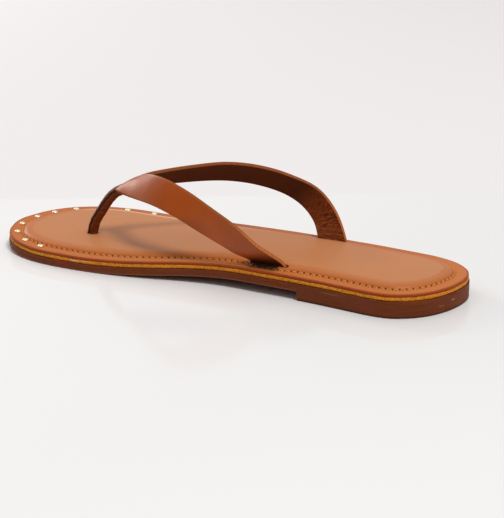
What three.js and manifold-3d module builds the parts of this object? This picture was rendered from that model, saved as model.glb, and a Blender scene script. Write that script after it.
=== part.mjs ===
// Flat toe post sandal for the right foot, in millimetres.
// While the pieces are shaped, x starts 1 mm behind the heel and runs to the toe, y runs to the inner side of
// the foot and z up from the floor. The whole sandal is moved at the end, to bring the middle of its base to
// the origin.
import * as THREE from 'three';
import { mergeVertices } from 'three/addons/utils/BufferGeometryUtils.js';
import Module from 'manifold-3d';

const wasm = await Module();
wasm.setup();

// Driving sizes of the last
const heelBackX = 1;
const toeTipX = 262;
const toeTipY = 5.8;
const heelRadius = 33.4;
const heelCentreY = 6.6;
const heelSkew = 7.6;

// Side profile: the sole drops from the heel to the ball, lies flat there, and springs up at the toe
const heelDrop = 4.7;
const archStart = 106;
const ballStart = 202;
const ballEnd = 224;
const toeSpring = 2.7;
const breastX = 77.6;
const breastRake = 0.3;

// Thicknesses of the layers, with the gap left between two of them
const outsoleThick = 4;
const boardThick = 1.8;
const coverThick = 1.2;
const gap = 0.3;

// Edges of the layers
const outsoleBevel = 0.7;
const outsoleTopRound = 0.3;
const boardInset = 0.3;
const boardBevel = 0.25;
const coverInset = 0.4;
const coverRound = 0.6;
const rimWidth = 7.9;
const crownHeight = 2;
const crownSlopes = [
  { inset: 8.1, share: 0 },
  { inset: 9.9, share: 0.7 },
  { inset: 12.9, share: 0.95 },
];

// Straps, post and studs
const strapThick = 2.2;
const strapEdgeRound = 0.6;
const slotWidth = 3.4;
const postRadius = 2.9;
const postHoleRadius = 3.4;
const cutterHeight = 30;
const postX = 213;
const postY = 7.6;
const studInset = 4.9;
const studRadius = 1.65;
const studHeight = 0.85;
const studSkirt = 0.25;

// Fineness of the faces
const outlineStep = 6;
const slotEndSegments = 6;
const holeSides = 20;
const studLineSamples = 1200;
const strapStepsPerRow = 3;
const tangentReach = 0.3;
const postSides = 16;
const postSteps = 14;
const studSides = 14;
const studArcSteps = 4;

// The outline in front of the round heel: the inner and outer edge at each x
const outlineRows = [
  { x: 36, inner: 39.6, outer: -27.6 },
  { x: 50, inner: 38.1, outer: -29.3 },
  { x: 64, inner: 36.4, outer: -30.8 },
  { x: breastX, inner: 35.2, outer: -31.6 },
  { x: 100, inner: 34.0, outer: -32.4 },
  { x: 122, inner: 33.2, outer: -33.9 },
  { x: 142, inner: 35.3, outer: -36.9 },
  { x: 160, inner: 39.0, outer: -40.2 },
  { x: 180, inner: 42.0, outer: -43.3 },
  { x: 200, inner: 43.1, outer: -45.1 },
  { x: 218, inner: 42.6, outer: -45.4 },
  { x: 232, inner: 40.4, outer: -42.8 },
  { x: 243, inner: 36.6, outer: -36.4 },
  { x: 251, inner: 31.6, outer: -28.0 },
  { x: 257, inner: 24.2, outer: -17.0 },
  { x: 261, inner: 13.6, outer: -2.4 },
];

// The upper from its inner end, over the fork above the toe post, to its outer end.
// Each row is a section of the strap: its rear edge, its front edge and how far its middle bows outwards.
const strapRows = [
  { rear: [88.0, 25.4, 9.1], front: [105.6, 25.2, 9.1], bow: 0 },
  { rear: [88.4, 25.8, 14.2], front: [107.2, 25.6, 14.2], bow: 0 },
  { rear: [99.1, 33.6, 24.8], front: [113.9, 30.6, 18.6], bow: 0.3 },
  { rear: [111.3, 35.8, 34.8], front: [121.5, 33.8, 23.5], bow: 0.3 },
  { rear: [124.4, 36.0, 42.4], front: [131.5, 35.8, 28.9], bow: 0.3 },
  { rear: [138.4, 33.6, 48.5], front: [144.0, 36.4, 34.7], bow: 0.3 },
  { rear: [153.2, 28.9, 52.0], front: [157.0, 34.0, 38.0], bow: 0.4 },
  { rear: [167.5, 20.7, 51.4], front: [170.6, 27.3, 38.0], bow: 0.6 },
  { rear: [176.8, 11.2, 47.9], front: [183.6, 17.6, 35.4], bow: 0.7 },
  { rear: [179.4, 8.6, 46.5], front: [192.4, 12.8, 35.2], bow: 0.9 },
  { rear: [180.2, 6.6, 46.2], front: [197.6, 8.2, 35.2], bow: 1.0 },
  { rear: [179.2, 4.6, 46.6], front: [194.0, 2.4, 35.4], bow: 0.9 },
  { rear: [176.6, 2.4, 47.6], front: [186.2, -3.4, 36.2], bow: 0.7 },
  { rear: [161.7, -7.0, 49.6], front: [165.0, -16.2, 38.5], bow: 0.4 },
  { rear: [143.2, -15.1, 51.1], front: [145.6, -23.6, 39.3], bow: 0.3 },
  { rear: [124.8, -20.2, 50.1], front: [128.3, -28.0, 37.5], bow: 0.3 },
  { rear: [108.9, -24.6, 46.0], front: [113.2, -30.0, 33.4], bow: 0.3 },
  { rear: [94.0, -27.4, 39.6], front: [102.9, -29.2, 28.0], bow: 0.3 },
  { rear: [83.5, -27.4, 28.6], front: [96.4, -28.2, 20.9], bow: 0.3 },
  { rear: [76.2, -24.7, 14.2], front: [92.6, -24.7, 14.2], bow: 0 },
  { rear: [75.8, -24.4, 9.1], front: [91.8, -24.4, 9.1], bow: 0 },
];

// The slots that the straps go down through
const slots = [
  { rear: [88.0, 25.5], front: [106.6, 25.3] },
  { rear: [76.1, -24.5], front: [92.0, -24.5] },
];

// The middle of the toe post, from the outsole up to the fork of the straps
const postRows = [
  [postX, postY, 4.4],
  [postX, postY, 9.5],
  [211.0, 7.8, 15.9],
  [206.0, 8.0, 23.6],
  [200.8, 8.2, 28.7],
  [195.6, 8.2, 31.9],
];

// Where the studs lie along the rim, measured from the toe's tip; the minus is the inner side
const studDistances = [-46, -33, -19, -6, 8.5, 21.5, 35, 50, 65.5, 83];

const finishes = {
  rubber: { color: 0x70402c, roughness: 0.6, metalness: 0 },
  board: { color: 0xbc7818, roughness: 0.9, metalness: 0 },
  cover: { color: 0xc6825a, roughness: 0.5, metalness: 0 },
  strap: { color: 0xa45424, roughness: 0.4, metalness: 0 },
  post: { color: 0x82481c, roughness: 0.45, metalness: 0 },
  stud: { color: 0xe8d8a0, roughness: 0.3, metalness: 0.9 },
};

const vector = (p) => new THREE.Vector3(p[0], p[1], p[2]);

// Closed curve of the sole's edge: heel's back, inner side, toe tip, then back along the outer side
function outlineControls() {
  const heelAngles = [25, 50, 75];
  const onHeel = (degrees, side) => {
    const angle = THREE.MathUtils.degToRad(degrees);
    const x = heelBackX + heelRadius * (1 - Math.cos(angle));
    const centreY = heelCentreY - heelSkew * (1 - Math.sin(angle));
    return new THREE.Vector3(x, centreY + side * heelRadius * Math.sin(angle), 0);
  };
  const inner = heelAngles.map((a) => onHeel(a, 1));
  const outer = heelAngles.map((a) => onHeel(a, -1));
  for (const row of outlineRows) {
    inner.push(new THREE.Vector3(row.x, row.inner, 0));
    outer.push(new THREE.Vector3(row.x, row.outer, 0));
  }
  const heelBack = new THREE.Vector3(heelBackX, heelCentreY - heelSkew, 0);
  const toeTip = new THREE.Vector3(toeTipX, toeTipY, 0);
  return [heelBack, ...inner, toeTip, ...outer.reverse()];
}

const controls = outlineControls();
const outline = new THREE.CatmullRomCurve3(controls, true, 'centripetal');
const breastIndex = controls.findIndex((p) => p.x === breastX);

// Places along one side, counted in control points, with a close pair at the heel's breast
function stationsAlongSide() {
  const stations = [];
  const spans = controls.length / 2;
  for (let span = 0; span < spans; span += 1) {
    const spanLength = controls[span].distanceTo(controls[span + 1]);
    const steps = Math.max(1, Math.round(spanLength / outlineStep));
    for (let step = 0; step < steps; step += 1) stations.push(span + step / steps);
    if (span === breastIndex) {
      const rakeShare = breastRake / (controls[span + 1].x - controls[span].x);
      stations.push(span + rakeShare);
    }
  }
  stations.sort((a, b) => a - b);
  return stations;
}

const side = stationsAlongSide();
const otherSide = side.slice(1).reverse().map((s) => controls.length - s);
const stations = [...side, controls.length / 2, ...otherSide];
const inFront = stations.map((s) => Math.min(s, controls.length - s) > breastIndex + 1e-6);

// The point of the outline at a station, moved inwards by an inset
function planPoint(station, inset) {
  const share = station / controls.length;
  const point = outline.getPoint(share);
  const along = outline.getTangent(share);
  return new THREE.Vector3(point.x + along.y * inset, point.y - along.x * inset, 0);
}

// Underside of the even layers: the drop from the heel, the flat at the ball and the toe spring
function layerBase(x) {
  const arch = THREE.MathUtils.clamp((x - archStart) / (ballStart - archStart), 0, 1);
  const spring = Math.max(0, (x - ballEnd) / (toeTipX - ballEnd));
  return heelDrop * (1 - THREE.MathUtils.smoothstep(arch, 0, 1)) + toeSpring * spring * spring;
}

const outsoleTop = (x) => layerBase(x) + outsoleThick;
const boardBase = (x) => outsoleTop(x) + gap;
const boardTop = (x) => boardBase(x) + boardThick;
const coverBase = (x) => boardTop(x) + gap;
const coverTop = (x) => coverBase(x) + coverThick;

// A ring of points at an inset from the outline, at heights given by a function
function ring(inset, height) {
  return stations.map((station, i) => {
    const point = planPoint(station, inset);
    point.z = height(point.x, inFront[i]);
    return point;
  });
}

// A ring pulled towards the line that halves the sole; a pull of 1 lies on that line
function pulledRing(inset, pull, height) {
  const flat = ring(inset, () => 0);
  const count = flat.length;
  return flat.map((point, i) => {
    const opposite = flat[(count - i) % count];
    const middle = point.clone().add(opposite).multiplyScalar(0.5);
    const moved = point.clone().lerp(middle, pull);
    moved.z = height(moved.x, inFront[i]);
    return moved;
  });
}

// Closed geometry from loose triangles, without the ones that have shrunk to a line
function closedGeometry(positions) {
  const loose = new THREE.BufferGeometry();
  loose.setAttribute('position', new THREE.Float32BufferAttribute(positions, 3));
  const merged = mergeVertices(loose, 1e-3);
  const kept = [];
  const index = merged.index.array;
  for (let i = 0; i < index.length; i += 3) {
    const [a, b, c] = [index[i], index[i + 1], index[i + 2]];
    if (a !== b && b !== c && c !== a) kept.push(a, b, c);
  }
  merged.setIndex(kept);
  return merged;
}

function pushQuad(positions, a, b, c, d) {
  for (const p of [a, b, c, a, c, d]) positions.push(p.x, p.y, p.z);
}

// A closed layer from rings that run from the middle of its underside, outwards, up and back to the middle
function layerFromRings(rings) {
  const positions = [];
  for (let r = 0; r + 1 < rings.length; r += 1) {
    const [low, high] = [rings[r], rings[r + 1]];
    for (let i = 0; i < low.length; i += 1) {
      const next = (i + 1) % low.length;
      pushQuad(positions, low[i], high[i], high[next], low[next]);
    }
  }
  return closedGeometry(positions);
}

function toSolid(geometry) {
  const bare = new THREE.BufferGeometry();
  bare.setAttribute('position', geometry.getAttribute('position').clone());
  if (geometry.index) bare.setIndex(geometry.index.clone());
  const merged = mergeVertices(bare, 1e-4);
  const vertProperties = new Float32Array(merged.getAttribute('position').array);
  const triVerts = new Uint32Array(merged.index.array);
  return new wasm.Manifold(new wasm.Mesh({ numProp: 3, vertProperties, triVerts }));
}

function cutFrom(geometry, cutters) {
  let solid = toSolid(geometry);
  for (const cutter of cutters) solid = solid.subtract(toSolid(cutter));
  const mesh = solid.getMesh();
  const cut = new THREE.BufferGeometry();
  cut.setAttribute('position', new THREE.Float32BufferAttribute(mesh.vertProperties, 3));
  cut.setIndex(Array.from(mesh.triVerts));
  return cut;
}

// A tall block with round ends, as wide as a slot
function slotCutter(slot) {
  const rear = new THREE.Vector2(...slot.rear);
  const front = new THREE.Vector2(...slot.front);
  const turn = Math.atan2(front.y - rear.y, front.x - rear.x);
  const half = slotWidth / 2;
  const shape = new THREE.Shape();
  shape.absarc(front.x, front.y, half, turn - Math.PI / 2, turn + Math.PI / 2, false);
  shape.absarc(rear.x, rear.y, half, turn + Math.PI / 2, turn + 1.5 * Math.PI, false);
  shape.closePath();
  const options = { depth: cutterHeight, bevelEnabled: false, curveSegments: slotEndSegments };
  return new THREE.ExtrudeGeometry(shape, options);
}

function postHoleCutter() {
  const cutter = new THREE.CylinderGeometry(postHoleRadius, postHoleRadius, cutterHeight, holeSides);
  cutter.rotateX(Math.PI / 2);
  cutter.translate(postX, postY, cutterHeight / 2);
  return cutter;
}

function outsoleGeometry() {
  const under = (x, front) => (front ? layerBase(x) : 0);
  return layerFromRings([
    pulledRing(outsoleBevel, 1, under),
    ring(outsoleBevel, under),
    ring(0, (x, front) => under(x, front) + outsoleBevel),
    ring(0, (x) => outsoleTop(x) - outsoleTopRound),
    ring(outsoleTopRound, outsoleTop),
    pulledRing(outsoleTopRound, 1, outsoleTop),
  ]);
}

function boardGeometry() {
  const rounded = boardInset + boardBevel;
  return layerFromRings([
    pulledRing(rounded, 1, boardBase),
    ring(rounded, boardBase),
    ring(boardInset, (x) => boardBase(x) + boardBevel),
    ring(boardInset, (x) => boardTop(x) - boardBevel),
    ring(rounded, boardTop),
    pulledRing(rounded, 1, boardTop),
  ]);
}

function coverGeometry() {
  const crowned = (share) => (x) => coverTop(x) + crownHeight * share;
  const slopes = crownSlopes.map((slope) => ring(slope.inset, crowned(slope.share)));
  const crownEdge = crownSlopes[crownSlopes.length - 1].inset;
  const roundMiddle = coverRound * (1 - Math.SQRT1_2);
  return layerFromRings([
    pulledRing(coverInset, 1, coverBase),
    ring(coverInset, coverBase),
    ring(coverInset, (x) => coverTop(x) - coverRound),
    ring(coverInset + roundMiddle, (x) => coverTop(x) - roundMiddle),
    ring(coverInset + coverRound, coverTop),
    ring(rimWidth, coverTop),
    ...slopes,
    pulledRing(crownEdge, 0.5, crowned(1)),
    pulledRing(crownEdge, 1, crowned(1)),
  ]);
}

// One section of the strap: a band with rounded edges, bowed outwards at its middle
function strapSection(rear, front, along, bow) {
  const across = rear.clone().sub(front);
  const width = across.length();
  across.normalize();
  const outwards = across.clone().cross(along).normalize();
  const half = strapThick / 2;
  const r = strapEdgeRound;
  const middle = rear.clone().add(front).multiplyScalar(0.5);
  const faceShares = [-1, -0.5, 0, 0.5, 1];
  const outerFace = faceShares.map((share) => [share * (width / 2 - r), half]);
  const rearEdge = [[width / 2, half - r], [width / 2, r - half]];
  const innerFace = outerFace.map(([a]) => [-a, -half]);
  const frontEdge = [[-width / 2, r - half], [-width / 2, half - r]];
  return [...outerFace, ...rearEdge, ...innerFace, ...frontEdge].map(([a, b]) => {
    const raised = b + bow * (1 - (2 * a / width) ** 2);
    return middle.clone().addScaledVector(across, a).addScaledVector(outwards, raised);
  });
}

function strapGeometry() {
  const rearCurve = new THREE.CatmullRomCurve3(strapRows.map((row) => vector(row.rear)));
  const frontCurve = new THREE.CatmullRomCurve3(strapRows.map((row) => vector(row.front)));
  const bowCurve = new THREE.CatmullRomCurve3(strapRows.map((row) => new THREE.Vector3(row.bow, 0, 0)));
  const count = (strapRows.length - 1) * strapStepsPerRow;
  const middleAt = (t) => rearCurve.getPoint(t).add(frontCurve.getPoint(t)).multiplyScalar(0.5);
  const sections = [];
  for (let i = 0; i <= count; i += 1) {
    const t = i / count;
    const nudge = tangentReach / count;
    const along = middleAt(Math.min(1, t + nudge)).sub(middleAt(Math.max(0, t - nudge))).normalize();
    const bow = Math.max(0, bowCurve.getPoint(t).x);
    sections.push(strapSection(rearCurve.getPoint(t), frontCurve.getPoint(t), along, bow));
  }
  const positions = [];
  for (let s = 0; s + 1 < sections.length; s += 1) {
    const [near, far] = [sections[s], sections[s + 1]];
    for (let i = 0; i < near.length; i += 1) {
      const next = (i + 1) % near.length;
      pushQuad(positions, near[i], near[next], far[next], far[i]);
    }
  }
  pushCap(positions, sections[0], false);
  pushCap(positions, sections[sections.length - 1], true);
  return closedGeometry(positions);
}

// Closes the end of a loft with a fan about its first corner
function pushCap(positions, section, facesForward) {
  for (let i = 1; i + 1 < section.length; i += 1) {
    const [b, c] = facesForward ? [section[i], section[i + 1]] : [section[i + 1], section[i]];
    for (const p of [section[0], b, c]) positions.push(p.x, p.y, p.z);
  }
}

function postGeometry() {
  const path = new THREE.CatmullRomCurve3(postRows.map(vector));
  const shape = new THREE.Shape();
  for (let i = 0; i < postSides; i += 1) {
    const angle = (2 * Math.PI * i) / postSides;
    const [x, y] = [postRadius * Math.cos(angle), postRadius * Math.sin(angle)];
    if (i === 0) shape.moveTo(x, y);
    else shape.lineTo(x, y);
  }
  shape.closePath();
  return new THREE.ExtrudeGeometry(shape, { steps: postSteps, extrudePath: path });
}

function studGeometry() {
  const profile = [new THREE.Vector2(0, 0), new THREE.Vector2(studRadius, 0)];
  for (let i = 0; i <= studArcSteps; i += 1) {
    const angle = (Math.PI / 2) * (i / studArcSteps);
    const z = studSkirt + (studHeight - studSkirt) * Math.sin(angle);
    profile.push(new THREE.Vector2(i === studArcSteps ? 0 : studRadius * Math.cos(angle), z));
  }
  const dome = new THREE.LatheGeometry(profile, studSides);
  dome.rotateX(Math.PI / 2);
  return dome;
}

// The studs' places along the line of their inset
function studPlaces() {
  const samples = studLineSamples;
  const line = [];
  for (let i = 0; i <= samples; i += 1) line.push(planPoint((controls.length * i) / samples, studInset));
  const run = [0];
  for (let i = 1; i < line.length; i += 1) run.push(run[i - 1] + line[i].distanceTo(line[i - 1]));
  const tip = run[samples / 2];
  return studDistances.map((distance) => line[run.findIndex((r) => r >= tip + distance)]);
}

function material(finish) {
  return new THREE.MeshStandardMaterial(finishes[finish]);
}

function named(name, geometry, finish) {
  const mesh = new THREE.Mesh(geometry, material(finish));
  mesh.name = name;
  return mesh;
}

const slotCutters = slots.map(slotCutter);
const sandal = new THREE.Group();
const outsole = named('outsole', outsoleGeometry(), 'rubber');
sandal.add(outsole);
sandal.add(named('midsole', cutFrom(boardGeometry(), [...slotCutters, postHoleCutter()]), 'board'));
sandal.add(named('footbed', cutFrom(coverGeometry(), [...slotCutters, postHoleCutter()]), 'cover'));
sandal.add(named('thong_straps', strapGeometry(), 'strap'));
sandal.add(named('toe_post', postGeometry(), 'post'));

studPlaces().forEach((place, k) => {
  const stud = named(`stud_${String(k + 1).padStart(2, '0')}`, studGeometry(), 'stud');
  const rise = coverTop(place.x + studRadius) - coverTop(place.x - studRadius);
  const slope = Math.atan2(rise, 2 * studRadius);
  stud.rotation.y = -slope;
  stud.position.set(place.x, place.y, coverTop(place.x) + gap);
  sandal.add(stud);
});

// The middle of the sole's box becomes the origin
const box = new THREE.Box3().setFromBufferAttribute(outsole.geometry.getAttribute('position'));
const middle = box.getCenter(new THREE.Vector3());
const placed = new THREE.Group();
sandal.position.set(-middle.x, -middle.y, -box.min.z);
placed.add(sandal);

export default placed;
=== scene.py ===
import math

import bpy
import numpy as np
from mathutils import Matrix, Vector


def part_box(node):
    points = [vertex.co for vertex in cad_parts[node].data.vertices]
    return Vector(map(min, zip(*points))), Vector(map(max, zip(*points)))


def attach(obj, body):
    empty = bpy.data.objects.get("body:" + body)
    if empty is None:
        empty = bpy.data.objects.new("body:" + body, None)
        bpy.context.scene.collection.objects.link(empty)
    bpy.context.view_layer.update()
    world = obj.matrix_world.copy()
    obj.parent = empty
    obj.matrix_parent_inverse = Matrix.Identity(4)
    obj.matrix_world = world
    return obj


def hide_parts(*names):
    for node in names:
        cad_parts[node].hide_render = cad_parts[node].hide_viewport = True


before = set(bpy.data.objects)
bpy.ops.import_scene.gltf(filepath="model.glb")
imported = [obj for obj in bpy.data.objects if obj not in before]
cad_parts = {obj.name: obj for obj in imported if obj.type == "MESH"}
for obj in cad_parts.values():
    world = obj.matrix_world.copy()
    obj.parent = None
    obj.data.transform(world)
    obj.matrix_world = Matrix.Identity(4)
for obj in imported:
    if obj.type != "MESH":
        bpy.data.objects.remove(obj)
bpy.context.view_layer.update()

bl_info = {
    "name": "Toe post sandal",
    "version": (1, 0, 0),
    "blender": (4, 5, 0),
    "location": "View3D > Sidebar > Sandal",
    "description": "Builds the pieces of a flat leather toe post sandal, with its studio",
    "category": "Add Mesh",
}

# Real sizes below are in millimetres and are turned into metres where a mesh is made.
# The tables' x starts 1 mm behind the heel and runs to the toe, y runs to the inner side and z up.
MM = 0.001
TABLE_MIDDLE = np.array([131.5, -1.14, 0.0])
WELD_DISTANCE = 0.01 * MM
FIT_TOLERANCE = 0.6 * MM

# The outline of the sole
HEEL_BACK_X = 1.0
TOE_TIP = (262.0, 5.8)
HEEL_RADIUS = 33.4
HEEL_CENTRE_Y = 6.6
HEEL_SKEW = 7.6
HEEL_ANGLES = (25, 50, 75)
OUTLINE_ROWS = (
    # x, inner edge, outer edge
    (36, 39.6, -27.6),
    (50, 38.1, -29.3),
    (64, 36.4, -30.8),
    (77.6, 35.2, -31.6),
    (100, 34.0, -32.4),
    (122, 33.2, -33.9),
    (142, 35.3, -36.9),
    (160, 39.0, -40.2),
    (180, 42.0, -43.3),
    (200, 43.1, -45.1),
    (218, 42.6, -45.4),
    (232, 40.4, -42.8),
    (243, 36.6, -36.4),
    (251, 31.6, -28.0),
    (257, 24.2, -17.0),
    (261, 13.6, -2.4),
)

# The side profile and the layers
HEEL_DROP = 4.7
ARCH = (106.0, 202.0)
BALL_END = 224.0
TOE_SPRING = 2.7
BREAST_X = 77.6
BREAST_ROUND = 0.6
OUTSOLE_TOP = 4.0
BOARD_SPAN = (4.3, 6.1)
COVER_SPAN = (6.4, 7.6)

# The upper: rear edge, front edge and outward bow of each section, from the inner slot to the outer slot
STRAP_ROWS = (
    ((88.0, 25.4, 9.1), (105.6, 25.2, 9.1), 0.0),
    ((88.4, 25.8, 14.2), (107.2, 25.6, 14.2), 0.0),
    ((99.1, 33.6, 24.8), (113.9, 30.6, 18.6), 0.3),
    ((111.3, 35.8, 34.8), (121.5, 33.8, 23.5), 0.3),
    ((124.4, 36.0, 42.4), (131.5, 35.8, 28.9), 0.3),
    ((138.4, 33.6, 48.5), (144.0, 36.4, 34.7), 0.3),
    ((153.2, 28.9, 52.0), (157.0, 34.0, 38.0), 0.4),
    ((167.5, 20.7, 51.4), (170.6, 27.3, 38.0), 0.6),
    ((176.8, 11.2, 47.1), (183.6, 17.6, 36.0), 0.7),
    ((179.4, 8.6, 45.3), (192.4, 12.8, 36.0), 0.8),
    ((180.2, 6.6, 45.0), (198.2, 8.2, 35.0), 0.8),
    ((179.2, 4.6, 45.4), (194.0, 2.4, 35.1), 0.8),
    ((176.6, 2.4, 46.3), (186.2, -3.4, 36.2), 0.6),
    ((161.7, -7.0, 48.8), (165.0, -16.2, 38.5), 0.4),
    ((143.2, -15.1, 51.1), (145.6, -23.6, 39.3), 0.3),
    ((124.8, -20.2, 50.1), (128.3, -28.0, 37.5), 0.3),
    ((108.9, -24.6, 46.0), (113.2, -30.0, 33.4), 0.3),
    ((94.0, -27.4, 39.6), (102.9, -29.2, 28.0), 0.3),
    ((83.5, -27.4, 28.6), (96.4, -28.2, 20.9), 0.3),
    ((76.2, -24.7, 14.2), (92.6, -24.7, 14.2), 0.0),
    ((75.8, -24.4, 9.1), (91.8, -24.4, 9.1), 0.0),
)
SLOTS = (
    # rear end, front end
    ((88.0, 25.5), (106.6, 25.3)),
    ((76.1, -24.5), (92.0, -24.5)),
)

# The middle of the toe post; its last two points reach the underside of the straps
POST_ROWS = (
    (213.0, 7.6, 4.6),
    (213.0, 7.6, 9.5),
    (211.0, 7.8, 15.9),
    (206.0, 8.0, 23.6),
    (201.4, 8.2, 30.0),
    (197.3, 8.2, 34.0),
    (192.6, 8.1, 36.6),
    (188.6, 7.9, 38.6),
)

# The photograph's view: its frame, and the camera fitted to the shoe
PHOTO_SIZE = (504, 518)
FOCAL_PIXELS = 1543.09
SENSOR = 36.0
VIEW_AZIMUTH = 26.247
VIEW_ELEVATION = 18.952
VIEW_ROLL = -0.375
VIEW_DISTANCE = 800.0
VIEW_TARGET = (113.25, 13.04, 10.0)


def srgb(red, green, blue):
    """A colour of 0 to 255 a channel, as the linear colour that Blender uses"""
    shares = [channel / 255 for channel in (red, green, blue)]
    return tuple(s / 12.92 if s <= 0.04045 else ((s + 0.055) / 1.055) ** 2.4 for s in shares)


def colour_property(name, description, red, green, blue):
    return bpy.props.FloatVectorProperty(
        name=name, description=description, subtype="COLOR", size=3, min=0, max=1,
        default=srgb(red, green, blue),
    )


def length_property(name, description, millimetres):
    return bpy.props.FloatProperty(
        name=name, description=description, unit="LENGTH", subtype="DISTANCE", min=0,
        precision=4, default=millimetres * MM,
    )


def number_property(name, description, default, unit="NONE"):
    return bpy.props.FloatProperty(name=name, description=description, unit=unit, min=0, default=default)


class SoleSettings(bpy.types.PropertyGroup):
    """Sizes and colours of the outsole, board and footbed"""

    crown_height: length_property("Crown height", "How far the padded middle stands above the rim", 2.15)
    crown_ease: length_property("Crown ease", "How gently the padding rises from the stitches", 1.4)
    stitch_inset: length_property("Stitch inset", "From the edge of the sole to the stitches", 7.5)
    stitch_pitch: length_property("Stitch pitch", "From one stitch to the next", 3.5)
    groove_depth: length_property("Groove depth", "How deep the stitches draw the leather in", 0.3)
    leather: colour_property("Footbed leather", "The tan leather on top", 189, 120, 73)
    cut_edge: colour_property("Cut edge", "The raw edge of the footbed leather", 152, 62, 6)
    board: colour_property("Board edge", "The golden cut edge of the board", 212, 127, 8)
    rubber: colour_property("Outsole", "The moulded outsole and heel", 105, 44, 10)


class UpperSettings(bpy.types.PropertyGroup):
    """Sizes and colours of the straps and the toe post"""

    strap_thickness: length_property("Strap thickness", "Leather and lining together", 2.2)
    edge_round: length_property("Edge round", "Radius of the straps' edges", 0.6)
    post_radius: length_property("Post radius", "Half the thickness of the rolled toe post", 2.9)
    lap_step: length_property("Lap step", "How far the free edge of the rolled leather stands up", 0.45)
    outer_face: colour_property("Outer face", "The polished side of the straps", 169, 73, 7)
    lining: colour_property("Lining", "The inner side of the straps", 104, 46, 14)
    edge: colour_property("Strap edge", "The cut edge of the straps", 186, 106, 50)
    post: colour_property("Toe post", "The rolled leather", 113, 48, 6)


class TrimSettings(bpy.types.PropertyGroup):
    """Sizes and colours of the stitches and studs"""

    thread_width: length_property("Thread width", "Thickness of the sewing thread", 0.85)
    stitch_length: length_property("Stitch length", "Length of the thread that shows", 2.5)
    stud_radius: length_property("Stud radius", "Half the width of a stud", 1.65)
    stud_height: length_property("Stud height", "Height of a stud's dome", 0.85)
    thread: colour_property("Thread", "The golden thread", 218, 142, 58)
    stud_metal: colour_property("Stud metal", "The pale gold studs", 246, 236, 204)


class StudioSettings(bpy.types.PropertyGroup):
    """The floor and the lights"""

    floor: colour_property("Floor", "The glossy white sheet that the shoe stands on", 239, 238, 237)
    backdrop: colour_property("Backdrop", "The pale paper behind the sheet", 228, 224, 224)
    key_power: number_property("Key light", "Power of the softbox above the heel", 86.0, "POWER")
    panel_power: number_property("Panel", "Power of the low panel beyond the toe", 8.0, "POWER")
    fill_strength: number_property("Fill", "Strength of the light from all round", 0.75)


# Curves and surfaces


def centripetal(points, steps, closed=False):
    """Points on the smooth curve through the given ones, with so many steps in each span"""
    points = np.asarray(points, float)
    if closed:
        p0, p1, p2, p3 = (np.roll(points, shift, axis=0) for shift in (1, 0, -1, -2))
    else:
        first = 2 * points[0] - points[1]
        last = 2 * points[-1] - points[-2]
        longer = np.vstack([first, points, last])
        p0, p1, p2, p3 = longer[:-3], longer[1:-2], longer[2:-1], longer[3:]

    def knot(a, b):
        return np.maximum(np.linalg.norm(b - a, axis=1, keepdims=True), 1e-6) ** 0.5

    d0, d1, d2 = knot(p0, p1), knot(p1, p2), knot(p2, p3)
    t1 = ((p1 - p0) / d0 - (p2 - p0) / (d0 + d1) + (p2 - p1) / d1) * d1
    t2 = ((p2 - p1) / d1 - (p3 - p1) / (d1 + d2) + (p3 - p2) / d2) * d1
    u = np.arange(steps)[None, :, None] / steps
    a, b, t1, t2 = p1[:, None], p2[:, None], t1[:, None], t2[:, None]
    curve = a + t1 * u + (3 * (b - a) - 2 * t1 - t2) * u**2 + (2 * (a - b) + t1 + t2) * u**3
    curve = curve.reshape(-1, points.shape[1])
    return curve if closed else np.vstack([curve, points[-1]])


def run_length(line, closed=False):
    """The distance along a line at each of its points, and at its end when it is closed"""
    ahead = np.roll(line, -1, axis=0) if closed else line[1:]
    steps = np.linalg.norm(ahead - line[: len(ahead)], axis=1)
    return np.concatenate([[0], np.cumsum(steps)])


def unit(vectors):
    return vectors / np.maximum(np.linalg.norm(vectors, axis=-1, keepdims=True), 1e-12)


def bell(distance, reach):
    """1 where there is no distance, and falling softly to 0 beyond the reach"""
    return np.exp(-((distance / reach) ** 2))


def wobble(place, wave, seed):
    """A smooth uneven field of about -1 to 1 at a place of x, y and z, the same at each run"""
    x, y, z = place
    draw = np.random.default_rng(seed)
    total = np.zeros(np.broadcast(x, y, z).shape)
    waves = 9
    for _ in range(waves):
        direction = unit(draw.normal(size=3)) * (2 * math.pi / wave) * draw.uniform(0.6, 1.6)
        phase = draw.uniform(0, 2 * math.pi)
        total += np.sin(direction[0] * x + direction[1] * y + direction[2] * z + phase)
    return total * math.sqrt(2 / waves) / 1.6


def base_height(points):
    """Underside of the even layers: the drop from the heel, the flat at the ball and the toe spring"""
    x = points[:, 0]
    arch = np.clip((x - ARCH[0]) / (ARCH[1] - ARCH[0]), 0, 1)
    spring = np.maximum(0, (x - BALL_END) / (TOE_TIP[0] - BALL_END))
    return HEEL_DROP * (1 - arch * arch * (3 - 2 * arch)) + TOE_SPRING * spring**2


def outline_controls():
    """The points that the sole's edge runs through: heel's back, inner side, toe, outer side"""
    inner, outer = [], []
    for degrees in HEEL_ANGLES:
        angle = math.radians(degrees)
        x = HEEL_BACK_X + HEEL_RADIUS * (1 - math.cos(angle))
        centre = HEEL_CENTRE_Y - HEEL_SKEW * (1 - math.sin(angle))
        inner.append((x, centre + HEEL_RADIUS * math.sin(angle)))
        outer.append((x, centre - HEEL_RADIUS * math.sin(angle)))
    for x, inner_y, outer_y in OUTLINE_ROWS:
        inner.append((x, inner_y))
        outer.append((x, outer_y))
    return [(HEEL_BACK_X, HEEL_CENTRE_Y - HEEL_SKEW), *inner, TOE_TIP, *reversed(outer)]


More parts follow.
